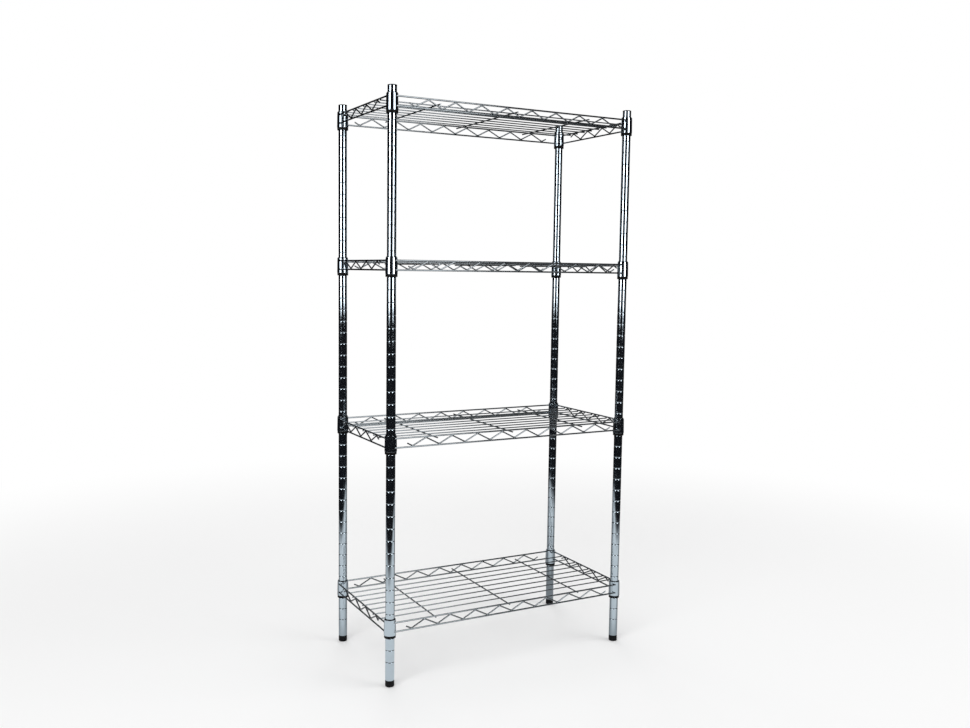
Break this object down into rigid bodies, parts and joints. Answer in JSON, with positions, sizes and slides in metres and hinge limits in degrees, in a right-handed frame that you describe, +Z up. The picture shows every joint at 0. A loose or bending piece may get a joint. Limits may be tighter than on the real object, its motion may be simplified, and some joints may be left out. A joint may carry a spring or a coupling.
{
  "type": "wire shelving unit",
  "caption": "Free-standing chrome wire shelving unit: grooved tube posts carry lift-off wire shelves on tapered split sleeves, and stand on levelling feet.",
  "frame": {"origin": "on the floor, at the middle of the four posts", "axes": "+X along the long sides, -Y towards the front, +Z up the posts"},
  "size_m": [0.5882, 0.3022, 1.213],
  "materials": {
    "chrome_tube": "bright chrome plate",
    "chrome_wire": "bright chrome plate on welded wire",
    "chrome_mat": "bright chrome plate on welded wire",
    "cap_plastic": "moulded black plastic",
    "insert_plastic": "moulded black plastic",
    "foot_plastic": "moulded black plastic",
    "sleeve_plastic": "moulded black plastic"
  },
  "bodies": {
    "uprights": {"post_front_left": "chrome_tube", "post_cap_front_left": "cap_plastic", "foot_insert_front_left": "insert_plastic", "post_front_right": "chrome_tube", "post_cap_front_right": "cap_plastic", "foot_insert_front_right": "insert_plastic", "post_back_left": "chrome_tube", "post_cap_back_left": "cap_plastic", "foot_insert_back_left": "insert_plastic", "post_back_right": "chrome_tube", "post_cap_back_right": "cap_plastic", "foot_insert_back_right": "insert_plastic", "sleeve_bottom_front_left_front": "sleeve_plastic", "sleeve_bottom_front_left_back": "sleeve_plastic", "sleeve_bottom_front_right_front": "sleeve_plastic", "sleeve_bottom_front_right_back": "sleeve_plastic", "sleeve_bottom_back_left_front": "sleeve_plastic", "sleeve_bottom_back_left_back": "sleeve_plastic", "sleeve_bottom_back_right_front": "sleeve_plastic", "sleeve_bottom_back_right_back": "sleeve_plastic", "sleeve_lower_front_left_front": "sleeve_plastic", "sleeve_lower_front_left_back": "sleeve_plastic", "sleeve_lower_front_right_front": "sleeve_plastic", "sleeve_lower_front_right_back": "sleeve_plastic", "sleeve_lower_back_left_front": "sleeve_plastic", "sleeve_lower_back_left_back": "sleeve_plastic", "sleeve_lower_back_right_front": "sleeve_plastic", "sleeve_lower_back_right_back": "sleeve_plastic", "sleeve_upper_front_left_front": "sleeve_plastic", "sleeve_upper_front_left_back": "sleeve_plastic", "sleeve_upper_front_right_front": "sleeve_plastic", "sleeve_upper_front_right_back": "sleeve_plastic", "sleeve_upper_back_left_front": "sleeve_plastic", "sleeve_upper_back_left_back": "sleeve_plastic", "sleeve_upper_back_right_front": "sleeve_plastic", "sleeve_upper_back_right_back": "sleeve_plastic", "sleeve_top_front_left_front": "sleeve_plastic", "sleeve_top_front_left_back": "sleeve_plastic", "sleeve_top_front_right_front": "sleeve_plastic", "sleeve_top_front_right_back": "sleeve_plastic", "sleeve_top_back_left_front": "sleeve_plastic", "sleeve_top_back_left_back": "sleeve_plastic", "sleeve_top_back_right_front": "sleeve_plastic", "sleeve_top_back_right_back": "sleeve_plastic"},
    "shelf_bottom": {"shelf_frame_bottom": "chrome_wire", "shelf_deck_bottom": "chrome_mat"},
    "shelf_lower": {"shelf_frame_lower": "chrome_wire", "shelf_deck_lower": "chrome_mat"},
    "shelf_upper": {"shelf_frame_upper": "chrome_wire", "shelf_deck_upper": "chrome_mat"},
    "shelf_top": {"shelf_frame_top": "chrome_wire", "shelf_deck_top": "chrome_mat"},
    "foot_front_left": {"foot_front_left": "foot_plastic"},
    "foot_front_right": {"foot_front_right": "foot_plastic"},
    "foot_back_left": {"foot_back_left": "foot_plastic"},
    "foot_back_right": {"foot_back_right": "foot_plastic"}
  },
  "joints": [
    {"name": "shelf_bottom_lift", "type": "slide", "parent": "uprights", "child": "shelf_bottom", "axis": [0, 0, 1], "range_m": [0, 0.34]},
    {"name": "shelf_lower_lift", "type": "slide", "parent": "uprights", "child": "shelf_lower", "axis": [0, 0, 1], "range_m": [0, 0.314]},
    {"name": "shelf_upper_lift", "type": "slide", "parent": "uprights", "child": "shelf_upper", "axis": [0, 0, 1], "range_m": [0, 0.276]},
    {"name": "shelf_top_lift", "type": "slide", "parent": "uprights", "child": "shelf_top", "axis": [0, 0, 1], "range_m": [0, 0.06]},
    {"name": "foot_front_left_level", "type": "slide", "parent": "uprights", "child": "foot_front_left", "axis": [0, 0, 1], "range_m": [-0.01, 0]},
    {"name": "foot_front_right_level", "type": "slide", "parent": "uprights", "child": "foot_front_right", "axis": [0, 0, 1], "range_m": [-0.01, 0]},
    {"name": "foot_back_left_level", "type": "slide", "parent": "uprights", "child": "foot_back_left", "axis": [0, 0, 1], "range_m": [-0.01, 0]},
    {"name": "foot_back_right_level", "type": "slide", "parent": "uprights", "child": "foot_back_right", "axis": [0, 0, 1], "range_m": [-0.01, 0]}
  ]
}
